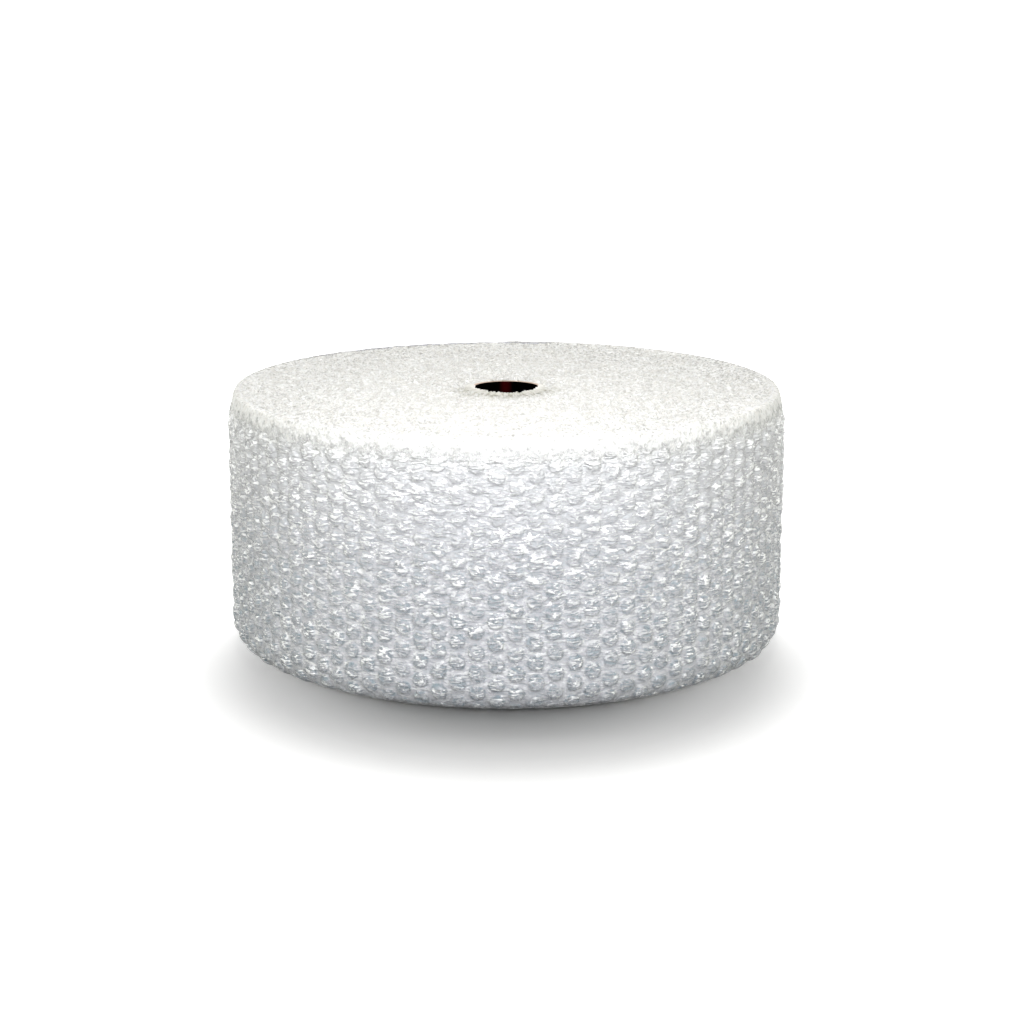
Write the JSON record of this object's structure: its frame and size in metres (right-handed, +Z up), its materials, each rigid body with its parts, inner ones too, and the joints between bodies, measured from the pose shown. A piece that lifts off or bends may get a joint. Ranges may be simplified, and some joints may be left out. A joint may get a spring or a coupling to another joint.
{
  "type": "bubble wrap roll",
  "caption": "Roll of bubble film wound with its bubbles outwards on a cardboard tube, standing on one end.",
  "frame": {"origin": "on the tube's axis, in the plane that the roll stands on", "axes": "+Z up the tube's axis; the loose end of the film is at the back, on +Y"},
  "size_m": [0.65, 0.6496, 0.3],
  "materials": {
    "bubble_film": "clear soft film, whitish where many turns lie behind each other",
    "cardboard": "spiral-wound brown board, bare"
  },
  "bodies": {
    "root": {"bubble_film": "bubble_film", "cardboard_tube": "cardboard"}
  },
  "joints": []
}
